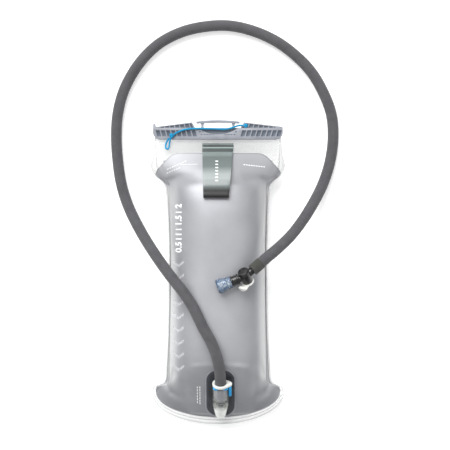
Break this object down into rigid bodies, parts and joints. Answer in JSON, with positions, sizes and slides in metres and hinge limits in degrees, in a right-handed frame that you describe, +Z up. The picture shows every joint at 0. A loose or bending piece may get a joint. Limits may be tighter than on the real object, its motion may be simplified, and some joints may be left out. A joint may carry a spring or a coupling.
{
  "type": "hydration bladder",
  "caption": "Insulated soft water bladder with a slide-top closure, hanging strap, plug-in drink hose and bite valve with shut-off.",
  "frame": {"origin": "on the surface that the bladder lies on, under the middle of the bag and its slider, without the hose", "axes": "+Y along the bag towards the slider, +X across it, +Z up from its back to its front"},
  "size_m": [0.2878, 0.5102, 0.0879],
  "materials": {
    "film": "clear milky welded film",
    "insulation": "satin silver-grey laminated foam",
    "liner": "clear smooth film",
    "slider_plastic": "satin moulded",
    "tether": "braided cord",
    "strap": "soft satin grey-green",
    "port_plate": "satin moulded",
    "weld_border": "pressed weld line",
    "frosted_plastic": "frosted clear moulded",
    "white_plastic": "satin moulded",
    "grey_plastic": "satin moulded",
    "blue_plastic": "moulded",
    "black_plastic": "polished moulded",
    "seal_rubber": "moulded seal",
    "spring_steel": "drawn wire",
    "sleeve_fabric": "woven textile sleeve",
    "tube": "clear tube",
    "silicone": "clear silicone"
  },
  "bodies": {
    "root": {"front_film": "film", "front_insulation": "insulation", "front_liner": "liner", "back_film": "film", "back_insulation": "insulation", "back_liner": "liner", "front_rail": "film", "back_rail": "film", "tether_cord": "tether", "tether_loop": "tether", "tether_noose_knot": "tether", "strap_anchor": "strap", "port_patch": "port_plate", "port_weld_ring": "weld_border", "port_socket": "frosted_plastic", "poppet_spring": "spring_steel", "hose_sleeve": "sleeve_fabric", "drink_tube": "tube", "hose_cuff": "sleeve_fabric", "valve_body": "black_plastic", "valve_cap": "black_plastic", "mouth_o_ring": "seal_rubber"},
    "slider": {"slider": "slider_plastic", "tether_stop_knot": "tether"},
    "strap": {"hang_strap": "strap"},
    "poppet": {"poppet": "white_plastic", "poppet_seal": "seal_rubber"},
    "plug": {"plug_stem": "grey_plastic", "plug_shell": "grey_plastic", "plug_flange": "white_plastic", "plug_o_ring_upper": "seal_rubber", "plug_o_ring_lower": "seal_rubber", "button_spring": "spring_steel"},
    "release_button": {"release_button": "blue_plastic"},
    "shutoff": {"shutoff_lever": "white_plastic", "valve_core": "white_plastic"},
    "mouthpiece": {"mouth_collar": "black_plastic", "bite_mouthpiece": "silicone"}
  },
  "joints": [
    {"name": "slider_slide", "type": "slide", "parent": "root", "child": "slider", "axis": [-1, 0, 0], "range_m": [0, 0.165], "deforming": ["tether_cord"]},
    {"name": "strap_lift", "type": "hinge", "parent": "root", "child": "strap", "pos_m": [0, 0.1585, 0.0322], "axis": [-1, 0, 0], "range_deg": [0, 90]},
    {"name": "hose_unplug", "type": "slide", "parent": "root", "child": "plug", "axis": [0, 0.866, 0.5], "range_m": [0, 0.034], "deforming": ["hose_sleeve", "drink_tube"]},
    {"name": "poppet_close", "type": "slide", "parent": "root", "child": "poppet", "axis": [0, 0.866, 0.5], "range_m": [0, 0.0027], "deforming": ["poppet_spring"]},
    {"name": "release_button_press", "type": "slide", "parent": "plug", "child": "release_button", "axis": [-1, 0, 0], "range_m": [0, 0.0015], "stiffness_N_per_m": 1200, "springref_m": -0.0004, "deforming": ["button_spring"]},
    {"name": "shutoff_turn", "type": "hinge", "parent": "root", "child": "shutoff", "pos_m": [0.034, -0.0033, 0.0775], "axis": [-0.3554, 0.6777, 0.6437], "range_deg": [0, 90]},
    {"name": "mouthpiece_swivel", "type": "hinge", "parent": "root", "child": "mouthpiece", "pos_m": [0.034, -0.0033, 0.0775], "axis": [-0.9342, -0.3561, -0.02], "continuous": true}
  ],
  "couplings": [
    {"joint": "poppet_close", "follows": "hose_unplug", "ratio": 0.0794}
  ]
}
